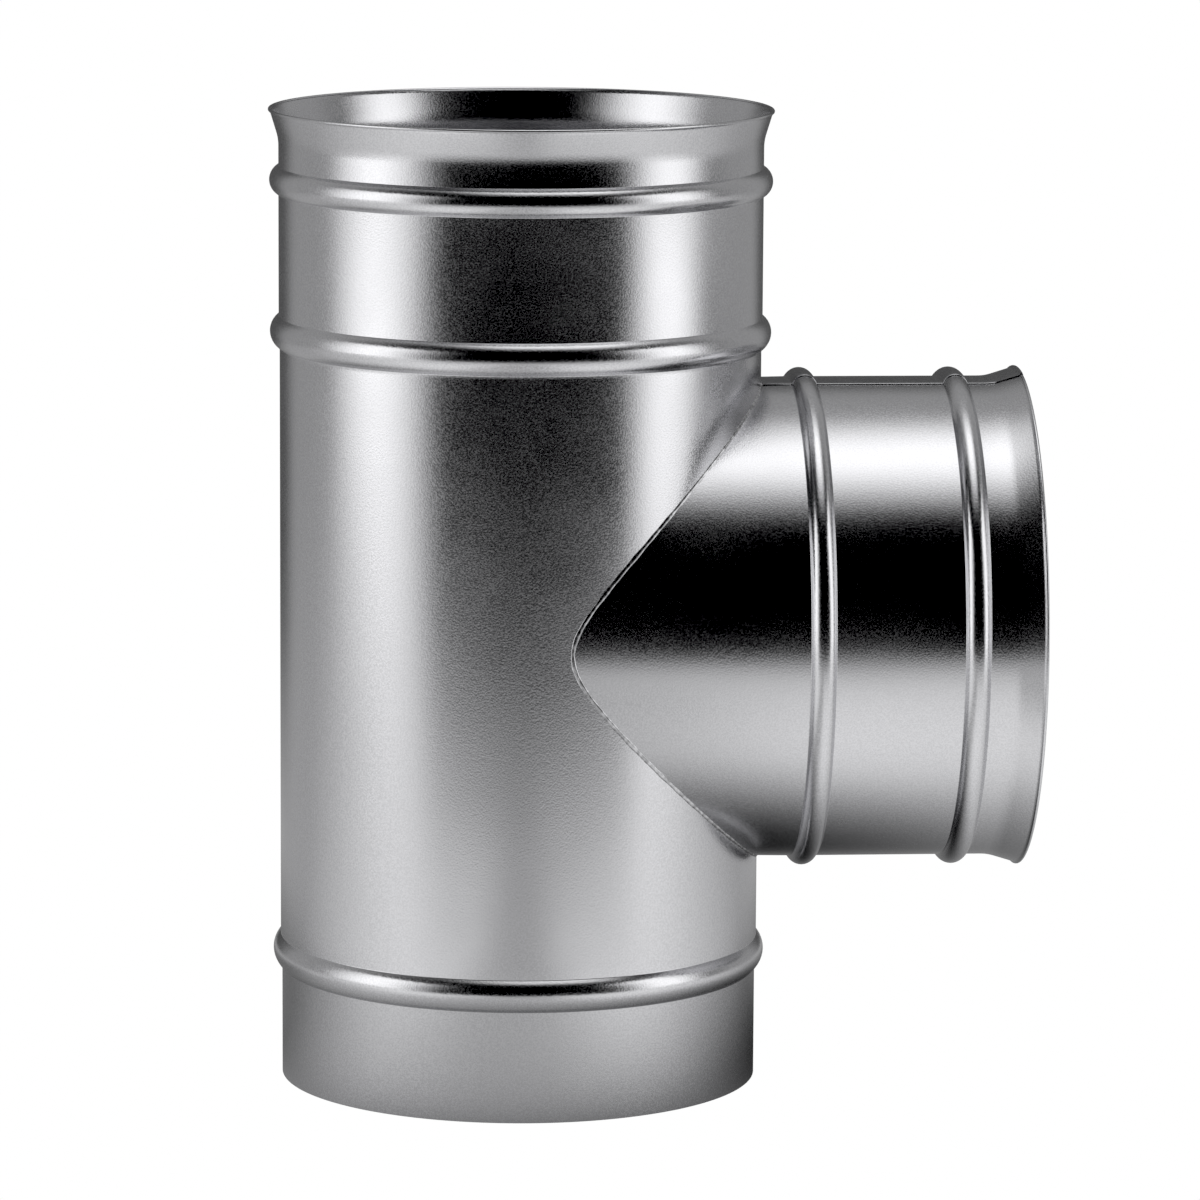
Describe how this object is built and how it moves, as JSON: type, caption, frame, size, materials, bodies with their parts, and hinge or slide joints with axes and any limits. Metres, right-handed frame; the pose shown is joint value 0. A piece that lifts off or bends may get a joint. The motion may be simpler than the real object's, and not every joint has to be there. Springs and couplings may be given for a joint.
{
  "type": "duct tee",
  "caption": "Equal 90 degree tee for round sheet-metal flue or vent duct: beaded bell-mouth sockets on the run and branch, plain spigot with a stop bead below, welded saddle joint.",
  "frame": {"origin": "centre of the end plane of the plain spigot, on the run axis", "axes": "+Z along the run axis towards the run's socket, +X along the branch axis out of its mouth"},
  "size_m": [0.2371, 0.1584, 0.3072],
  "materials": {
    "steel_sheet": "satin, cold-rolled",
    "weld_metal": "fused bead, semi-gloss"
  },
  "bodies": {
    "root": {"run_pipe": "steel_sheet", "branch_pipe": "steel_sheet", "saddle_weld": "weld_metal"}
  },
  "joints": []
}
